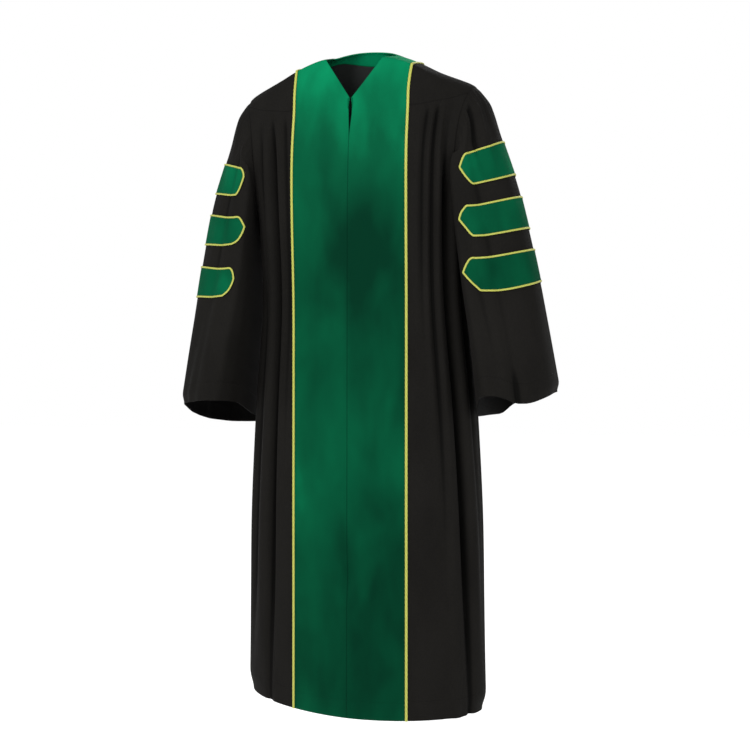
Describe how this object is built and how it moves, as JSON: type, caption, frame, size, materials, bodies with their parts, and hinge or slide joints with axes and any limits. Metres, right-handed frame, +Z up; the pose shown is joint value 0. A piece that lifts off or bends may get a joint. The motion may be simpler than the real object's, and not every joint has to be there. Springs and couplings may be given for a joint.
{
  "type": "graduation gown",
  "caption": "Doctoral graduation gown in black cloth with green velvet front panels, bell sleeves with pointed velvet bars, and gold piping, shown as worn and hollow",
  "frame": {"origin": "midway between the two points where the neck edge meets the shoulders, where the wearer's shoulders hold the gown up", "axes": "+Z up along the hanging length, the front faces -Y, and +X points to the wearer's left"},
  "size_m": [0.7906, 0.2753, 1.3481],
  "materials": {
    "black_cloth": "matte twill with a soft sheen",
    "green_velvet": "emerald velvet with a mottled nap",
    "gold_cord": "twisted gold cord",
    "black_tape": "woven closure tape"
  },
  "bodies": {
    "root": {"back": "black_cloth", "bar_left_1": "green_velvet", "bar_left_2": "green_velvet", "bar_left_3": "green_velvet", "bar_piping_left_1": "gold_cord", "bar_piping_left_2": "gold_cord", "bar_piping_left_3": "gold_cord", "bar_piping_right_1": "gold_cord", "bar_piping_right_2": "gold_cord", "bar_piping_right_3": "gold_cord", "bar_right_1": "green_velvet", "bar_right_2": "green_velvet", "bar_right_3": "green_velvet", "closure_tape": "black_tape", "front_left": "black_cloth", "front_right": "black_cloth", "neck_band": "green_velvet", "piping_left": "gold_cord", "piping_neck": "gold_cord", "piping_right": "gold_cord", "sleeve_left": "black_cloth", "sleeve_right": "black_cloth", "velvet_left": "green_velvet", "velvet_right": "green_velvet", "yoke": "black_cloth"}
  },
  "joints": []
}
